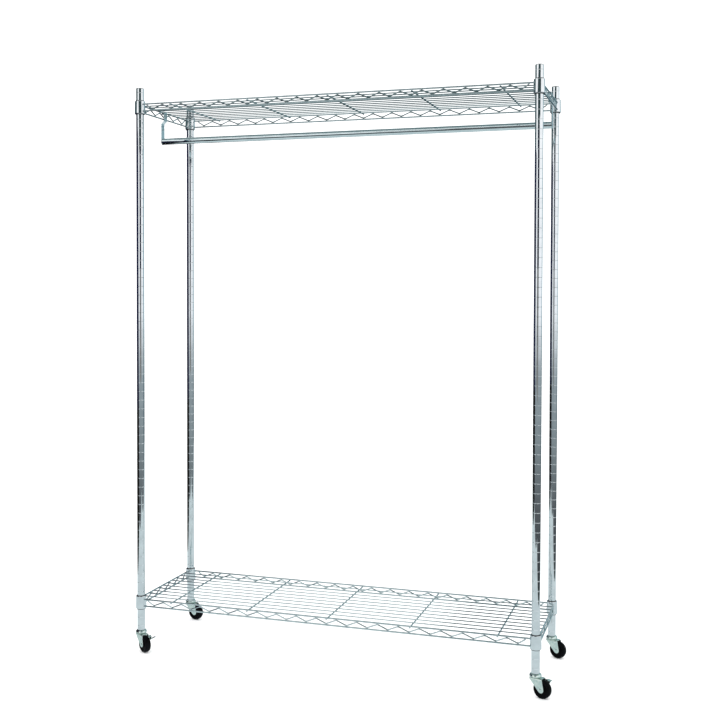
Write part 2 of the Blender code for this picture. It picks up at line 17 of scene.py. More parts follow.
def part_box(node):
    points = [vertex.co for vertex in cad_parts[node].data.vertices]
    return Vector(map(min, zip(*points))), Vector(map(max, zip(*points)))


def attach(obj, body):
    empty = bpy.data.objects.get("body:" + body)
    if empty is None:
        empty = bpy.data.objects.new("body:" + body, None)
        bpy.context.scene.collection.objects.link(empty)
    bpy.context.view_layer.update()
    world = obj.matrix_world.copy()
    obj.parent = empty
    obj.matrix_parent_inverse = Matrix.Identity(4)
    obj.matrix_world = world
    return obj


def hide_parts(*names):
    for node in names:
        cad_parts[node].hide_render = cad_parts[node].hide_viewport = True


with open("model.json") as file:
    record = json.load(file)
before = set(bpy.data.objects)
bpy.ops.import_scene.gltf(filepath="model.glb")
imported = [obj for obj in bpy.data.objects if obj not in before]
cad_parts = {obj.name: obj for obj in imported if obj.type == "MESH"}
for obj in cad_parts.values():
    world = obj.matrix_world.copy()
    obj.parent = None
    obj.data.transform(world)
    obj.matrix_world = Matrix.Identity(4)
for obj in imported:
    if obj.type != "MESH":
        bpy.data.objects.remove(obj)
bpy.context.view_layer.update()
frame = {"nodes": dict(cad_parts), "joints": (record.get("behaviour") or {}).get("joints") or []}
MM = 0.001
CORNERS = ("front_left", "front_right", "back_left", "back_right")
JOINTS = {joint["name"]: joint for joint in frame["joints"]}


# ---------------------------------------------------------------- materials


class Nodes:
    """A material's node tree, with short calls for what every finish here needs."""

    def __init__(self, name):
        self.material = bpy.data.materials.new(name)
        self.material.use_nodes = True
        self.tree = self.material.node_tree
        self.shader = self.tree.nodes["Principled BSDF"]
        self.place = self.tree.nodes.new("ShaderNodeTexCoord").outputs["Object"]

    def add(self, kind, **values):
        node = self.tree.nodes.new(kind)
        for key, value in values.items():
            setattr(node, key, value)
        return node

    def link(self, source, target):
        self.tree.links.new(source, target)

    def noise(self, scale, detail=3.0, stretch=None):
        node = self.add("ShaderNodeTexNoise")
        node.inputs["Scale"].default_value = scale
        node.inputs["Detail"].default_value = detail
        source = self.place
        if stretch:
            mapping = self.add("ShaderNodeMapping")
            mapping.inputs["Scale"].default_value = stretch
            self.link(source, mapping.inputs["Vector"])
            source = mapping.outputs["Vector"]
        self.link(source, node.inputs["Vector"])
        return node.outputs["Fac"]

    def ramp(self, source, stops):
        node = self.add("ShaderNodeValToRGB")
        elements = node.color_ramp.elements
        while len(elements) < len(stops):
            elements.new(0.5)
        for element, (position, color) in zip(elements, stops):
            element.position = position
            element.color = (*color, 1)
        self.link(source, node.inputs["Fac"])
        return node.outputs["Color"]

    def spread(self, source, low, high, start=0.3, end=0.7):
        node = self.add("ShaderNodeMapRange")
        node.inputs["From Min"].default_value = start
        node.inputs["From Max"].default_value = end
        node.inputs["To Min"].default_value = low
        node.inputs["To Max"].default_value = high
        self.link(source, node.inputs["Value"])
        return node.outputs["Result"]

    def bump(self, height, distance, strength=1.0, after=None):
        node = self.add("ShaderNodeBump")
        node.inputs["Strength"].default_value = strength
        node.inputs["Distance"].default_value = distance
        self.link(height, node.inputs["Height"])
        if after:
            self.link(after, node.inputs["Normal"])
        return node.outputs["Normal"]

    def set(self, key, value):
        if hasattr(value, "links"):
            self.link(value, self.shader.inputs[key])
        else:
            self.shader.inputs[key].default_value = value


def metal(name, dull, bright, rough, patch=40.0, wave=0.02 * MM, grain=0.01 * MM, draw=(1, 1, 0.02)):
    """Plated metal: patches of haze, uneven plating and fine lines along the drawn tube or wire."""
    n = Nodes(name)
    haze = n.noise(patch, 4)
    lines = n.noise(2200, 2, draw)
    n.set("Base Color", n.ramp(haze, [(0.32, dull), (0.62, bright)]))
    n.set("Metallic", 1.0)
    n.set("Roughness", n.spread(n.noise(patch * 3.1, 5), rough[0], rough[1]))
    n.set("Normal", n.bump(lines, grain, 0.5, n.bump(n.noise(patch * 2, 2), wave, 0.5)))
    return n.material


def plastic(name, dark, light, rough, grain_scale, grain, sheen=0.45):
    """Moulded plastic or rubber with mould grain and a little settled dust."""
    n = Nodes(name)
    n.set("Base Color", n.ramp(n.noise(70, 6), [(0.38, dark), (0.72, light)]))
    n.set("Roughness", n.spread(n.noise(180, 4), rough[0], rough[1]))
    n.set("Normal", n.bump(n.noise(grain_scale, 3), grain, 0.6))
    n.set("Specular IOR Level", sheen)
    return n.material


CHROME = metal("post_chrome", (0.78, 0.82, 0.84), (0.87, 0.91, 0.925), (0.015, 0.05))
WIRE = metal("wire_chrome", (0.45, 0.54, 0.56), (0.62, 0.70, 0.71), (0.06, 0.15), patch=90, draw=(0.02, 1, 1))
ROD = metal("rod_chrome", (0.68, 0.77, 0.79), (0.78, 0.86, 0.875), (0.03, 0.08), draw=(0.02, 1, 1))
ZINC = metal("caster_zinc", (0.60, 0.74, 0.71), (0.80, 0.88, 0.82), (0.12, 0.26), patch=130, grain=0.03 * MM)
SLEEVE = plastic("sleeve_nylon", (0.010, 0.010, 0.012), (0.030, 0.031, 0.034), (0.38, 0.55), 900, 0.03 * MM)
CAP = plastic("cap_plastic", (0.014, 0.015, 0.018), (0.040, 0.042, 0.046), (0.30, 0.45), 700, 0.03 * MM)
SOCKET = plastic("socket_plastic", (0.035, 0.036, 0.038), (0.075, 0.076, 0.08), (0.45, 0.6), 700, 0.04 * MM)
NEAR_BLACK = (0.0008, 0.0008, 0.001)
TREAD = plastic("wheel_tread", NEAR_BLACK, (0.003, 0.0035, 0.005), (0.25, 0.42), 650, 0.04 * MM, 0.05)
HUB = plastic("wheel_hub", NEAR_BLACK, (0.003, 0.003, 0.004), (0.35, 0.5), 500, 0.04 * MM, 0.04)


# ---------------------------------------------------------------- making pieces


def finished(name, bm, material, body, nodes=(), place=None, sharp=32):
    bmesh.ops.recalc_face_normals(bm, faces=bm.faces)
    mesh = bpy.data.meshes.new(name)
    bm.to_mesh(mesh)
    bm.free()
    mesh.materials.append(material)
    mesh.shade_smooth()
    mesh.set_sharp_from_angle(angle=math.radians(sharp))
    piece = bpy.data.objects.new(name, mesh)
    bpy.context.scene.collection.objects.link(piece)
    if place is not None:
        piece.matrix_world = place
    return settle(piece, body, nodes)


def settle(piece, body, nodes=()):
    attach(piece, body)
    if nodes:
        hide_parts(*nodes)
    return piece


def turn(bm, profile, sides, closed=False, arc=(0.0, 360.0)):
    """Turns a (radius, height) profile about Z into bm. A part turn of a closed profile gets flat ends."""
    start, end = (math.radians(a) for a in arc)
    whole = end - start > 2 * math.pi - 1e-6
    count = sides if whole else sides + 1
    angles = [start + (end - start) * i / sides for i in range(count)]
    rings = []
    for r, z in profile:
        if r < 1e-7:
            rings.append([bm.verts.new((0, 0, z))] * count)
        else:
            rings.append([bm.verts.new((r * math.cos(a), r * math.sin(a), z)) for a in angles])
    pairs = list(zip(rings, rings[1:]))
    if closed:
        pairs.append((rings[-1], rings[0]))
    for one, two in pairs:
        for i in range(sides):
            j = (i + 1) % count
            corners = []
            for vert in (one[i], one[j], two[j], two[i]):
                if vert not in corners:
                    corners.append(vert)
            if len(corners) > 2:
                bm.faces.new(corners)
    if closed and not whole:
        bm.faces.new([ring[0] for ring in rings])
        bm.faces.new([ring[-1] for ring in reversed(rings)])
    return bm


def turned(name, profile, sides, material, body, nodes=(), place=None, closed=False, arc=(0.0, 360.0)):
    bm = turn(bmesh.new(), profile, sides, closed, arc)
    return finished(name, bm, material, body, nodes, place)


def rounded(points, radius, steps=3):
    """A path of 3D points with its inner corners rounded."""
    path = [Vector(points[0])]
    for before, here, after in zip(points, points[1:], points[2:]):
        here = Vector(here)
        back = (Vector(before) - here)
        ahead = (Vector(after) - here)
        cut = min(radius, 0.45 * back.length, 0.45 * ahead.length)
        start = here + back.normalized() * cut
        end = here + ahead.normalized() * cut
        for i in range(steps + 1):
            t = i / steps
            path.append((1 - t) ** 2 * start + 2 * t * (1 - t) * here + t * t * end)
    path.append(Vector(points[-1]))
    return path


def sweep(bm, path, radius, sides=10):
    """A round wire along a path, with slightly domed ends."""
    rings = []
    last = len(path) - 1
    for i, point in enumerate(path):
        ahead = (path[min(i + 1, last)] - path[max(i - 1, 0)]).normalized()
        side = ahead.cross(Vector((0, 0, 1)))
        if side.length < 1e-3:
            side = Vector((1, 0, 0))
        side.normalize()
        up = side.cross(ahead)
        stretch = 1.0
        if 0 < i < last:
            bend = (path[i + 1] - point).normalized().dot((point - path[i - 1]).normalized())
            stretch = 1 / max(0.6, math.sqrt((1 + bend) / 2))
        ring = []
        for k in range(sides):
            a = 2 * math.pi * k / sides
            offset = side * math.cos(a) * radius + up * math.sin(a) * radius * stretch
            ring.append(bm.verts.new(point + offset))
        rings.append(ring)
    for one, two in zip(rings, rings[1:]):
        for k in range(sides):
            j = (k + 1) % sides
            bm.faces.new((one[k], one[j], two[j], two[k]))
    for ring, tip, sign in ((rings[0], path[0], -1), (rings[-1], path[-1], 1)):
        inner = (path[1] - path[0]) if sign < 0 else (path[-1] - path[-2])
        peak = bm.verts.new(tip + inner.normalized() * sign * radius * 0.25)
        for k in range(sides):
            bm.faces.new((ring[k], ring[(k + 1) % sides], peak))


def lump(bm, at, size, turn_z=0.0):
    """A weld nugget: a squashed ball."""
    place = Matrix.Translation(at) @ Matrix.Rotation(turn_z, 4, "Z") @ Matrix.Diagonal((*size, 1))
    bmesh.ops.create_uvsphere(bm, u_segments=10, v_segments=6, radius=1.0, matrix=place)


def middle(node):
    low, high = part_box(node)
    return (Vector(low) + Vector(high)) / 2


def span(node, axis=2):
    low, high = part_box(node)
    return low[axis], high[axis]


def at(x, y, z=0.0):
    return Matrix.Translation((x, y, z))


# ---------------------------------------------------------------- posts

PITCH = 25.4 * MM
GROOVE_DEPTH = 0.2 * MM
GROOVE_HALF = 0.6 * MM
HOLD = 0.15 * MM  # a ring this close to an edge keeps the shading of the wall beside it straight


def grooved_wall(low, high, joint_z, radius, bore):
    """Outer wall from top to bottom with a groove every pitch, rolled tube ends, then up the bore."""
    edge = 0.5 * MM
    wall = [(radius - edge, high), (radius - edge * 0.3, high - edge * 0.3), (radius, high - edge)]
    wall.append((radius, high - edge - HOLD))
    first = math.floor((high - 4 * MM - joint_z) / PITCH)
    last = math.ceil((low + 4 * MM - joint_z) / PITCH)
    for k in range(first, last - 1, -1):
        if k == 0:
            continue
        z = joint_z + k * PITCH
        deep = radius - GROOVE_DEPTH
        wall += [
            (radius, z + GROOVE_HALF + HOLD),
            (radius, z + GROOVE_HALF),
            (deep, z + GROOVE_HALF * 0.35),
            (deep, z - GROOVE_HALF * 0.35),
            (radius, z - GROOVE_HALF),
            (radius, z - GROOVE_HALF - HOLD),
        ]
    wall += [(radius, low + edge + HOLD), (radius, low + edge)]
    wall += [(radius - edge * 0.3, low + edge * 0.3), (radius - edge, low)]
    return wall + [(bore, low), (bore, high)]


def make_post(corner):
    lower, upper = "post_lower_" + corner, "post_upper_" + corner
    centre = middle(lower)
    radius = (span(lower, 0)[1] - span(lower, 0)[0]) / 2
    joint_z = (span(lower)[1] + span(upper)[0]) / 2
    place = at(centre.x, centre.y)
    for node in (lower, upper):
        low, high = span(node)
        wall = grooved_wall(low, high, joint_z, radius, radius - 1.2 * MM)
        turned("fine_" + node, wall, 48, CHROME, "frame", (node,), place, closed=True)
    cap = "post_cap_" + corner
    low, high = span(cap)
    seat = span(upper)[1] + 0.25 * MM
    profile = [
        (0, high),
        (radius * 0.62, high - 0.12 * MM),
        (radius * 0.80, high - 0.4 * MM),
        (radius * 0.93, high - 1.0 * MM),
        (radius * 0.99, high - 1.6 * MM),
        (radius * 0.99, seat),
        (radius - 1.7 * MM, seat),
        (radius - 1.7 * MM, low),
        (0, low),
    ]
    turned("fine_" + cap, profile, 48, CAP, "frame", (cap,), place)


# ---------------------------------------------------------------- shelves

LOWER_RIM = 8 * MM
UPPER_RIM = 27.5 * MM
OUTSET = 6.5 * MM
RIM_END = 13.6 * MM
RIM_R = 2.3 * MM
CROSS_R = 2.1 * MM
DECK_R = 1.7 * MM
TRUSS_R = 1.9 * MM
CROSS_STEP = 238 * MM
DECK_STEP = 29.25 * MM


def zigzag(reach, valleys, peak_z, valley_z):
    first = reach - 45 * MM
    step = 2 * first / (valleys - 1)
    points = [(-(reach - 26 * MM), peak_z)]
    for i in range(valleys):
        points.append((-first + i * step, valley_z))
        if i < valleys - 1:
            points.append((-first + (i + 0.5) * step, peak_z))
    points.append((reach - 26 * MM, peak_z))
    return points


def make_shelf(shelf):
    low, high = span(shelf)
    post = middle("post_lower_back_right")
    px, py = post.x, post.y
    wires = bmesh.new()
    welds = bmesh.new()
    for z in (low + LOWER_RIM, low + UPPER_RIM):
        for side in (-1, 1):
            y = side * (py + OUTSET)
            x = side * (px + OUTSET)
            end_x, end_y = px - RIM_END, py - RIM_END
            sweep(wires, [Vector((-end_x, y, z)), Vector((0, y, z)), Vector((end_x, y, z))], RIM_R, 12)
            sweep(wires, [Vector((x, -end_y, z)), Vector((x, 0, z)), Vector((x, end_y, z))], RIM_R, 12)
            for other in (-1, 1):
                lump(welds, (other * (end_x - 0.4 * MM), y, z), (1.6 * MM, 2.75 * MM, 2.75 * MM))
                lump(welds, (x, other * (end_y - 0.4 * MM), z), (2.6 * MM, 1.6 * MM, 2.75 * MM))
    weld = RIM_R + TRUSS_R - 0.5 * MM
    peak_z, valley_z = low + UPPER_RIM - weld, low + LOWER_RIM + weld
    for side in (-1, 1):
        for across in (False, True):
            if across:
                points = [(side * (px + OUTSET), a, z) for a, z in zigzag(py, 5, peak_z, valley_z)]
            else:
                points = [(a, side * (py + OUTSET), z) for a, z in zigzag(px, 19, peak_z, valley_z)]
            sweep(wires, rounded(points, 5 * MM, 4), TRUSS_R, 8)
            for x, y, z in points:
                drop = 1.4 * MM if z > (peak_z + valley_z) / 2 else -1.4 * MM
                size = (1.5 * MM, 2.6 * MM, 1.2 * MM) if across else (2.6 * MM, 1.5 * MM, 1.2 * MM)
                lump(welds, (x, y, z + drop), size)
    cross_z = low + UPPER_RIM - RIM_R - CROSS_R + 0.6 * MM
    deck_z = cross_z + CROSS_R + DECK_R - 0.5 * MM
    cross_reach = py + OUTSET + 1.4 * MM
    deck_reach = px + OUTSET - 1.0 * MM
    for i in range(5):
        x = (i - 2) * CROSS_STEP
        sweep(wires, [Vector((x, y, cross_z)) for y in (-cross_reach, 0, cross_reach)], CROSS_R, 12)
    for i in range(10):
        y = (i - 4.5) * DECK_STEP
        path = [
            Vector((-deck_reach, y, low + UPPER_RIM - 0.2 * MM)),
            Vector((-deck_reach + 6 * MM, y, low + UPPER_RIM - 0.3 * MM)),
            Vector((-deck_reach + 26 * MM, y, deck_z)),
            Vector((0, y, deck_z)),
            Vector((deck_reach - 26 * MM, y, deck_z)),
            Vector((deck_reach - 6 * MM, y, low + UPPER_RIM - 0.3 * MM)),
            Vector((deck_reach, y, low + UPPER_RIM - 0.2 * MM)),
        ]
        sweep(wires, path, DECK_R, 8)
        for k in range(5):
            lump(welds, ((k - 2) * CROSS_STEP, y, deck_z - DECK_R * 0.8), (2.0 * MM, 1.9 * MM, 0.9 * MM))
    name = "fine_" + shelf
    finished(name + "_wires", wires, WIRE, "frame", (shelf,))
    finished(name + "_welds", welds, WIRE, "frame", (shelf,))
    height = high - low
    foot, head = 15.3 * MM, 14.7 * MM
    collar = [
        (head - 1.2 * MM, height),
        (head - 0.4 * MM, height - 0.25 * MM),
        (head, height - 1.0 * MM),
        (head, height - 1.0 * MM - HOLD),
        (foot, 1.6 * MM + HOLD),
        (foot, 1.6 * MM),
        (foot - 0.3 * MM, 0.5 * MM),
        (foot - 1.0 * MM, 0),
        (13.65 * MM, 0),
        (12.9 * MM, height),
    ]
    for corner in CORNERS:
        centre = middle("post_lower_" + corner)
        place = at(centre.x, centre.y, low)
        turned(f"{name}_collar_{corner}", collar, 56, CHROME, "frame", (shelf,), place, closed=True)


def make_sleeves():
    """Each half sleeve as a smooth tapered half ring with softened lips."""
    for level in ("top", "bottom"):
        for corner in CORNERS:
            centre = middle("post_lower_" + corner)
            for side, start in (("back", 0.0), ("front", 180.0)):
                node = f"sleeve_{level}_{corner}_{side}_half"
                low, high = span(node)
                profile = [
                    (12.2 * MM, high),
                    (12.45 * MM, high - 0.4 * MM),
                    (13.25 * MM, low + 0.5 * MM),
                    (13.0 * MM, low),
                    (11.5 * MM, low),
                    (11.35 * MM, low + 0.4 * MM),
                    (11.35 * MM, high - 0.4 * MM),
                    (11.5 * MM, high),
                ]
                turned(
                    "fine_" + node, profile, 28, SLEEVE, "frame", (node,),
                    at(centre.x, centre.y), closed=True, arc=(start + 2.0, start + 178.0),
                )


# ---------------------------------------------------------------- rod and its hangers


def make_rod():
    node = "hanging_rod"
    low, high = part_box(node)
    radius = (high[2] - low[2]) / 2
    z = (high[2] + low[2]) / 2
    reach = high[0]
    edge = 0.4 * MM
    profile = [
        (radius - edge, reach),
        (radius - edge * 0.3, reach - edge * 0.3),
        (radius, reach - edge),
        (radius, reach - edge - HOLD),
        (radius, -reach + edge + HOLD),
        (radius, -reach + edge),
        (radius - edge * 0.3, -reach + edge * 0.3),
        (radius - edge, -reach),
        (radius - 1.15 * MM, -reach),
        (radius - 1.15 * MM, reach),
    ]
    place = Matrix.Translation((0, 0, z)) @ Matrix.Rotation(math.pi / 2, 4, "Y")
    turned("fine_rod", profile, 56, ROD, "frame", (node,), place, closed=True)
    for side, name in ((-1, "left"), (1, "right")):
        make_hanger(side, "rod_hanger_" + name, z, reach)


def make_hanger(side, node, rod_z, reach):
    """A flat strap: round foot against the rod's end, pressed rib, jog under the truss, hook over the rim."""
    post = middle("post_lower_back_right")
    rim_x = post.x + OUTSET
    rim_z = span("top_shelf")[0] + UPPER_RIM
    x_foot = reach + 1.3 * MM
    bend = RIM_R + 1.2 * MM
    stations = []
    for i in range(9):
        a = math.radians(-88 + i * 11)
        stations.append((x_foot, rod_z + 9.9 * MM * math.sin(a), 9.9 * MM * math.cos(a)))
    stations.append((x_foot, rod_z + 6 * MM, 9.6 * MM))
    rib = rod_z + 44 * MM
    for dz, out in ((-4, 0), (-2.4, 0.1), (-1.3, 0.75), (0, 0.95), (1.3, 0.75), (2.4, 0.1), (4, 0)):
        stations.append((x_foot + out * 0.7 * MM, rib + dz * MM, 9.4 * MM))
    for x, z in ((x_foot, rod_z + 51 * MM), (x_foot - 0.5 * MM, rod_z + 53.5 * MM)):
        stations.append((x, z, 9.4 * MM))
    stations.append((rim_x - bend + 0.6 * MM, rod_z + 61 * MM, 9.4 * MM))
    stations.append((rim_x - bend, rod_z + 64 * MM, 9.4 * MM))
    stations.append((rim_x - bend, rim_z - 2 * MM, 9.4 * MM))
    for i in range(9):
        a = math.radians(180 - i * 22.5)
        stations.append((rim_x + bend * math.cos(a), rim_z + bend * math.sin(a), 9.4 * MM))
    stations.append((rim_x + bend, rim_z - 4.6 * MM, 9.0 * MM))
    bm = bmesh.new()
    rows = []
    for x, z, half in stations:
        across = (-1, -0.93, -0.5, 0, 0.5, 0.93, 1)
        rows.append([bm.verts.new((side * x, half * t, z)) for t in across])
    for one, two in zip(rows, rows[1:]):
        for k in range(len(one) - 1):
            bm.faces.new((one[k], one[k + 1], two[k + 1], two[k]))
    strap = finished("fine_" + node, bm, ROD, "frame", (node,))
    solid = strap.modifiers.new("thickness", "SOLIDIFY")
    solid.thickness = 1.9 * MM
    solid.offset = 0
    edge = strap.modifiers.new("edges", "BEVEL")
    edge.width = 0.35 * MM
    edge.segments = 2
    edge.limit_method = "ANGLE"
    edge.angle_limit = math.radians(50)
    spigot = [
        (0, 1.0 * MM),
        (7.2 * MM, 1.0 * MM),
        (8.0 * MM, 0.4 * MM),
        (8.0 * MM, -19 * MM),
        (7.4 * MM, -19.6 * MM),
        (0, -19.6 * MM),
    ]
    turn = Matrix.Rotation(side * math.pi / 2, 4, "Y")
    place = Matrix.Translation((side * (reach + 0.4 * MM), 0, rod_z)) @ turn
    turned(f"fine_{node}_spigot", spigot, 32, ROD, "frame", (node,), place)


# ---------------------------------------------------------------- casters


def caster_place(corner):
    """The caster's own frame: origin on the floor under the swivel, +X the way the wheel trails."""
    swivel = JOINTS["swivel_" + corner]["pos_m"]
    spin = JOINTS["wheel_spin_" + corner]
    along = Vector((spin["pos_m"][0] - swivel[0], spin["pos_m"][1] - swivel[1]))
    heading = math.atan2(along.y, along.x)
    place = Matrix.Translation((swivel[0], swivel[1], 0)) @ Matrix.Rotation(heading, 4, "Z")
    return place, along.length, spin["pos_m"][2]


def leg_limits(z, trail, axle_z):
    """(leading edge, trailing edge) of a fork leg at a height."""
    end_r = 7.9 * MM
    round_half = math.sqrt(max(0.0, end_r**2 - (z - axle_z) ** 2))
    crown_back, crown_front = -11.9 * MM, 22.9 * MM
    lead_top, lead_foot = 49 * MM, axle_z - 4.6 * MM
    if z >= lead_top:
        lead = crown_back
    elif z >= lead_foot:
        t = (lead_top - z) / (lead_top - lead_foot)
        lead = crown_back + t * (trail - 6.5 * MM - crown_back)
    else:
        lead = trail - round_half
    if z >= axle_z + 1.5 * MM:
        t = (53 * MM - z) / (53 * MM - axle_z - 1.5 * MM)
        bow = 4 * t * (1 - t) * 0.2 * MM
        trailing = crown_front + t * (trail + end_r - crown_front - 0.2 * MM) + bow
    else:
        trailing = trail + round_half
    return lead, trailing


def make_fork(corner, place, trail, axle_z):
    """One bent sheet: down one leg, over the crown and down the other, with a domed race pressed on top."""
    half = 10.55 * MM
    top = 52.05 * MM
    corner_r = 2.6 * MM
    heights = [axle_z - 7.86 * MM, axle_z - 7.4 * MM, axle_z - 6.4 * MM, axle_z - 5 * MM, axle_z - 3 * MM]
    heights += [axle_z - 1 * MM, axle_z + 1.4 * MM, axle_z + 4 * MM, axle_z + 9 * MM, axle_z + 15 * MM]
    heights += [axle_z + 20 * MM, 48.6 * MM, 49.2 * MM]
    rows = [(-half, z, z) for z in heights]
    for i in range(5):
        a = math.radians(180 - 22.5 * i)
        y = -half + corner_r + corner_r * math.cos(a)
        z = top - corner_r + corner_r * math.sin(a)
        rows.append((y, z, 53 * MM))
    rows += [(-4.8 * MM, top, 53 * MM), (0, top, 53 * MM)]
    rows += [(-y, z, key) for y, z, key in reversed(rows[:-1])]
    columns = 13
    bm = bmesh.new()
    grid = []
    for y, z, key in rows:
        lead, trailing = leg_limits(key, trail, axle_z)
        step = (trailing - lead) / (columns - 1)
        grid.append([bm.verts.new((lead + step * k, y, z)) for k in range(columns)])
    for one, two in zip(grid, grid[1:]):
        for k in range(columns - 1):
            bm.faces.new((one[k], one[k + 1], two[k + 1], two[k]))
    node = "caster_fork_" + corner
    body = "swivel_" + corner
    fork = finished("fine_" + node, bm, ZINC, body, (node,), place)
    solid = fork.modifiers.new("sheet", "SOLIDIFY")
    solid.thickness = 1.75 * MM
    solid.offset = 0
    edge = fork.modifiers.new("edges", "BEVEL")
    edge.width = 0.4 * MM
    edge.segments = 2
    edge.limit_method = "ANGLE"
    edge.angle_limit = math.radians(50)
    race = [
        (8.0 * MM, 57.1 * MM),
        (10.9 * MM, 57.0 * MM),
        (12.4 * MM, 56.2 * MM),
        (13.2 * MM, 54.8 * MM),
        (13.9 * MM, 53.4 * MM),
        (15.2 * MM, 52.9 * MM),
        (4.4 * MM, 52.2 * MM),
        (4.4 * MM, 57.1 * MM),
    ]
    turned(f"fine_{node}_race", race, 48, ZINC, body, (node,), place, closed=True)


def make_stem(corner, place):
    node = "caster_stem_" + corner
    dome = [
        (0, 83.8 * MM),
        (4.2 * MM, 83.8 * MM),
        (4.9 * MM, 83.0 * MM),
        (4.9 * MM, 62.6 * MM),
        (11.4 * MM, 62.6 * MM),
        (12.7 * MM, 62.2 * MM),
        (14.2 * MM, 60.9 * MM),
        (15.6 * MM, 58.8 * MM),
        (16.2 * MM, 57.2 * MM),
        (16.3 * MM, 55.6 * MM),
        (16.0 * MM, 55.1 * MM),
        (15.2 * MM, 55.05 * MM),
        (14.7 * MM, 57.6 * MM),
        (4.0 * MM, 57.6 * MM),
        (4.0 * MM, 50.6 * MM),
        (6.4 * MM, 50.6 * MM),
        (6.9 * MM, 50.0 * MM),
        (6.2 * MM, 48.6 * MM),
        (0, 48.3 * MM),
    ]
    turned("fine_" + node, dome, 56, ZINC, "frame", (node,), place)


def make_axle(corner, place, trail, axle_z):
    node = "wheel_axle_" + corner
    head = [
        (0, 13.0 * MM),
        (1.6 * MM, 12.95 * MM),
        (3.0 * MM, 12.6 * MM),
        (3.75 * MM, 11.9 * MM),
        (3.75 * MM, 11.6 * MM),
    ]
    shank = [(2.35 * MM, 11.6 * MM), (2.35 * MM, -11.6 * MM)]
    profile = head + shank + [(r, -z) for r, z in reversed(head)]
    spot = place @ Matrix.Translation((trail, 0, axle_z)) @ Matrix.Rotation(math.pi / 2, 4, "X")
    turned("fine_" + node, profile, 28, ZINC, "swivel_" + corner, (node,), spot)


def make_wheel(corner, place, trail, axle_z):
    """Moulded wheel: soft shoulders, a parting line round the tread, a stepped web and a raised hub."""
    node = "wheel_" + corner
    radius = axle_z - 0.2 * MM
    half = 8.45 * MM
    outer = [
        (radius + 0.14 * MM, 0),
        (radius, 0.25 * MM),
        (radius - 0.1 * MM, 3.5 * MM),
        (radius - 0.6 * MM, 5.6 * MM),
        (radius - 1.7 * MM, 7.2 * MM),
        (radius - 3.3 * MM, 8.1 * MM),
        (radius - 5.0 * MM, half),
        (18.4 * MM, half),
        (17.9 * MM, half - 0.5 * MM),
        (17.4 * MM, 6.9 * MM),
        (16.6 * MM, 6.55 * MM),
        (12.6 * MM, 6.5 * MM),
        (12.2 * MM, 6.85 * MM),
        (11.6 * MM, 6.85 * MM),
        (11.2 * MM, 6.5 * MM),
        (8.6 * MM, 6.6 * MM),
        (7.6 * MM, 7.4 * MM),
        (7.1 * MM, 9.0 * MM),
        (6.6 * MM, 9.25 * MM),
        (2.75 * MM, 9.25 * MM),
    ]
    profile = [(r, z) for r, z in reversed(outer)] + [(r, -z) for r, z in outer[1:]]
    spot = place @ Matrix.Translation((trail, 0, axle_z)) @ Matrix.Rotation(math.pi / 2, 4, "X")
    bm = turn(bmesh.new(), profile, 72, closed=True)
    wheel = finished("fine_" + node, bm, TREAD, node, (node,), spot)
    wheel.data.materials.append(HUB)
    for face in wheel.data.polygons:
        if math.hypot(face.center.x, face.center.y) < 17.5 * MM:
            face.material_index = 1


def make_caster(corner):
    place, trail, axle_z = caster_place(corner)
    make_stem(corner, place)
    make_fork(corner, place, trail, axle_z)
    make_axle(corner, place, trail, axle_z)
    make_wheel(corner, place, trail, axle_z)


def dress_cad(prefix, material, bevel=0.0):
    """A CAD node whose shape is right keeps it, with a real finish and softened edges."""
    for name, node in frame["nodes"].items():
        if name.startswith(prefix):
            node.data.materials.clear()
            node.data.materials.append(material)
            if bevel:
                edge = node.modifiers.new("edges", "BEVEL")
                edge.width = bevel
                edge.segments = 2
                edge.limit_method = "ANGLE"
                edge.angle_limit = math.radians(40)


# ---------------------------------------------------------------- studio


def flat_material(name, color, strength):
    material = bpy.data.materials.new(name)
    material.use_nodes = True
    tree = material.node_tree
    tree.nodes.clear()
    out = tree.nodes.new("ShaderNodeOutputMaterial")
    glow = tree.nodes.new("ShaderNodeEmission")
    glow.inputs["Color"].default_value = (*color, 1)
    glow.inputs["Strength"].default_value = strength
    tree.links.new(glow.outputs["Emission"], out.inputs["Surface"])
    return material


def card(name, corners, color, strength):
    """A studio card that only shows in reflections."""
    mesh = bpy.data.meshes.new(name)
    mesh.from_pydata(corners, [], [tuple(range(len(corners)))])
    mesh.materials.append(flat_material(name, color, strength))
    piece = bpy.data.objects.new(name, mesh)
    bpy.context.scene.collection.objects.link(piece)
    piece.visible_camera = False
    piece.visible_diffuse = False
    piece.visible_shadow = False
    piece.visible_transmission = False
    return piece


def upright(name, x0, y0, x1, y1, z0, z1, color, strength):
    return card(name, [(x0, y0, z0), (x1, y1, z0), (x1, y1, z1), (x0, y0, z1)], color, strength)


def make_floor():
    mesh = bpy.data.meshes.new("floor")
    size = 30.0
    corners = [(-size, -size, 0), (size, -size, 0), (size, size, 0), (-size, size, 0)]
    mesh.from_pydata(corners, [], [(0, 1, 2, 3)])
    n = Nodes("floor_paper")
    n.set("Base Color", n.ramp(n.noise(3.0, 4), [(0.3, (0.955, 0.957, 0.96)), (0.7, (0.965, 0.967, 0.97))]))
    n.set("Roughness", 0.9)
    n.set("Specular IOR Level", 0.1)
    mesh.materials.append(n.material)
    floor = bpy.data.objects.new("floor", mesh)
    bpy.context.scene.collection.objects.link(floor)
    floor.visible_glossy = False
    sheet = [(-1.5, -1.8, 0.0), (1.4, -1.8, 0.0), (1.4, 4.0, 0.0), (-1.5, 4.0, 0.0)]
    card("paper_seen_in_chrome", sheet, (0.82, 0.93, 0.96), 0.74)


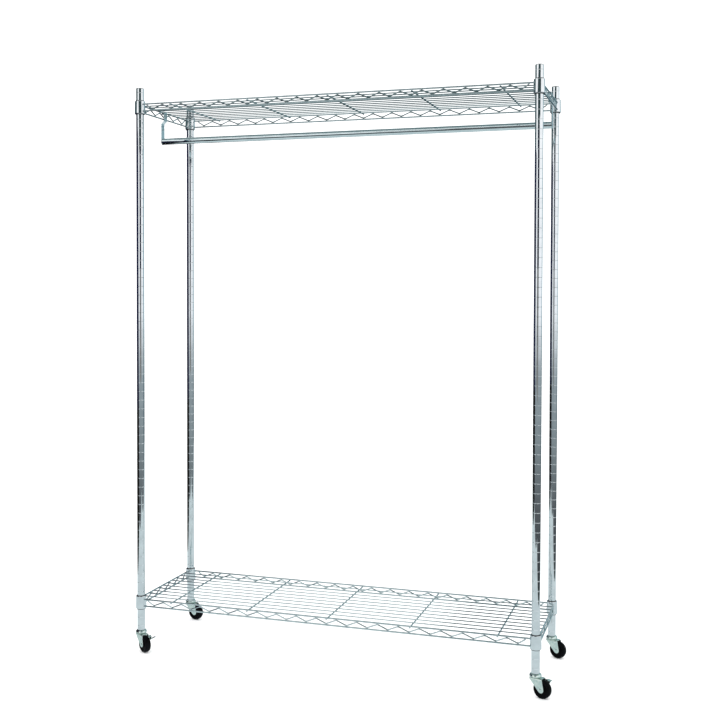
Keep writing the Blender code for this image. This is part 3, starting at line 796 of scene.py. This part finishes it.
def make_world():
    world = bpy.data.worlds.new("studio")
    bpy.context.scene.world = world
    world.use_nodes = True
    tree = world.node_tree
    tree.nodes.clear()
    out = tree.nodes.new("ShaderNodeOutputWorld")
    soft = tree.nodes.new("ShaderNodeBackground")
    soft.inputs["Color"].default_value = (1.0, 1.0, 1.0, 1)
    soft.inputs["Strength"].default_value = 1.45
    room = tree.nodes.new("ShaderNodeBackground")
    mix = tree.nodes.new("ShaderNodeMixShader")
    path = tree.nodes.new("ShaderNodeLightPath")
    place = tree.nodes.new("ShaderNodeTexCoord")
    split = tree.nodes.new("ShaderNodeSeparateXYZ")
    tree.links.new(place.outputs["Generated"], split.inputs["Vector"])
    height = tree.nodes.new("ShaderNodeMapRange")
    height.inputs["From Min"].default_value = -1
    height.inputs["From Max"].default_value = 1
    tree.links.new(split.outputs["Z"], height.inputs["Value"])
    ramp = tree.nodes.new("ShaderNodeValToRGB")
    stops = [
        (0.35, (0.015, 0.018, 0.02)),
        (0.40, (0.10, 0.11, 0.12)),
        (0.43, (0.24, 0.28, 0.30)),
        (0.458, (0.32, 0.37, 0.40)),
        (0.49, (0.96, 0.98, 1.02)),
        (0.60, (1.04, 1.04, 1.05)),
        (0.82, (0.95, 1.0, 1.0)),
        (0.90, (0.20, 0.27, 0.28)),
        (1.0, (0.14, 0.20, 0.21)),
    ]
    elements = ramp.color_ramp.elements
    while len(elements) < len(stops):
        elements.new(0.5)
    for element, (position, color) in zip(elements, stops):
        element.position = position
        element.color = (*color, 1)
    tree.links.new(height.outputs["Result"], ramp.inputs["Fac"])
    toward = tree.nodes.new("ShaderNodeVectorMath")
    toward.operation = "DOT_PRODUCT"
    toward.inputs[1].default_value = (0.208, 0.978, 0.0)
    tree.links.new(place.outputs["Generated"], toward.inputs[0])
    side = tree.nodes.new("ShaderNodeMapRange")
    side.inputs["From Min"].default_value = 0.60
    side.inputs["From Max"].default_value = 0.72
    tree.links.new(toward.outputs["Value"], side.inputs["Value"])
    wall = tree.nodes.new("ShaderNodeMixRGB")
    wall.blend_type = "MULTIPLY"
    wall.inputs["Color2"].default_value = (0.30, 0.43, 0.47, 1)
    tree.links.new(side.outputs["Result"], wall.inputs["Fac"])
    tree.links.new(ramp.outputs["Color"], wall.inputs["Color1"])
    tree.links.new(wall.outputs["Color"], room.inputs["Color"])
    tree.links.new(path.outputs["Is Glossy Ray"], mix.inputs["Fac"])
    tree.links.new(soft.outputs["Background"], mix.inputs[1])
    tree.links.new(room.outputs["Background"], mix.inputs[2])
    tree.links.new(mix.outputs["Shader"], out.inputs["Surface"])


def make_lights():
    light = bpy.data.lights.new("overhead_softbox", "AREA")
    light.shape = "RECTANGLE"
    light.size = 2.4
    light.size_y = 1.6
    light.energy = 26
    lamp = bpy.data.objects.new("overhead_softbox", light)
    bpy.context.scene.collection.objects.link(lamp)
    lamp.location = (0.9, -1.9, 3.2)
    lamp.rotation_euler = (Vector((0, 0, 0.9)) - lamp.location).to_track_quat("-Z", "Y").to_euler()
    lamp.visible_glossy = False


def make_studio():
    make_floor()
    make_world()
    make_lights()
    navy = (0.35, 0.40, 1.0)
    teal = (0.5, 0.8, 0.85)
    grey = (1.0, 1.0, 1.0)
    upright("left_flag", -1.3, -1.5, -1.3, 3.0, 0.62, 1.68, navy, 0.05)
    upright("left_flag_top", -1.3, -0.9, -1.3, 3.0, 1.68, 2.40, teal, 0.14)
    upright("left_flag_low", -1.3, -1.8, -1.3, 3.0, 0.04, 0.62, grey, 0.008)
    for name, low, high, color, strength in (
        ("front_flag_low", 0.60, 1.15, grey, 0.22),
        ("front_flag", 1.15, 1.75, navy, 0.03),
    ):
        upright(name, -0.27, -2.44, 1.21, -1.62, low, high, color, strength)
    upright("front_flag_top", -0.75, -2.70, 1.60, -1.40, 1.75, 2.10, teal, 0.08)
    view = bpy.context.scene.view_settings
    view.view_transform = "Standard"
    view.look = "None"
    view.exposure = 0.0
    view.gamma = 1.0


def make_camera():
    yaw, pitch, roll = -0.3077, -0.0249, 0.0026
    ahead = Vector((math.sin(yaw) * math.cos(pitch), math.cos(yaw) * math.cos(pitch), math.sin(pitch)))
    right = Vector((math.cos(yaw), -math.sin(yaw), 0))
    up = right.cross(ahead)
    turned_right = right * math.cos(roll) + up * math.sin(roll)
    turned_up = -right * math.sin(roll) + up * math.cos(roll)
    data = bpy.data.cameras.new("camera")
    data.sensor_width = 36
    data.lens = 53.646
    data.shift_x = 0.0008
    data.shift_y = -0.0639
    data.clip_start = 0.01
    data.clip_end = 100
    camera = bpy.data.objects.new("camera", data)
    bpy.context.scene.collection.objects.link(camera)
    basis = Matrix((turned_right, turned_up, -ahead)).transposed().to_4x4()
    camera.matrix_world = Matrix.Translation((0.9759, -2.9410, 1.0656)) @ basis
    bpy.context.scene.camera = camera


make_camera()
make_studio()
for each in CORNERS:
    make_post(each)
    make_caster(each)
make_shelf("top_shelf")
make_shelf("bottom_shelf")
make_sleeves()
make_rod()
dress_cad("post_joint_stud_", ZINC)
dress_cad("post_socket_", SOCKET)
dress_cad("brake_lever_", ZINC, 0.35 * MM)
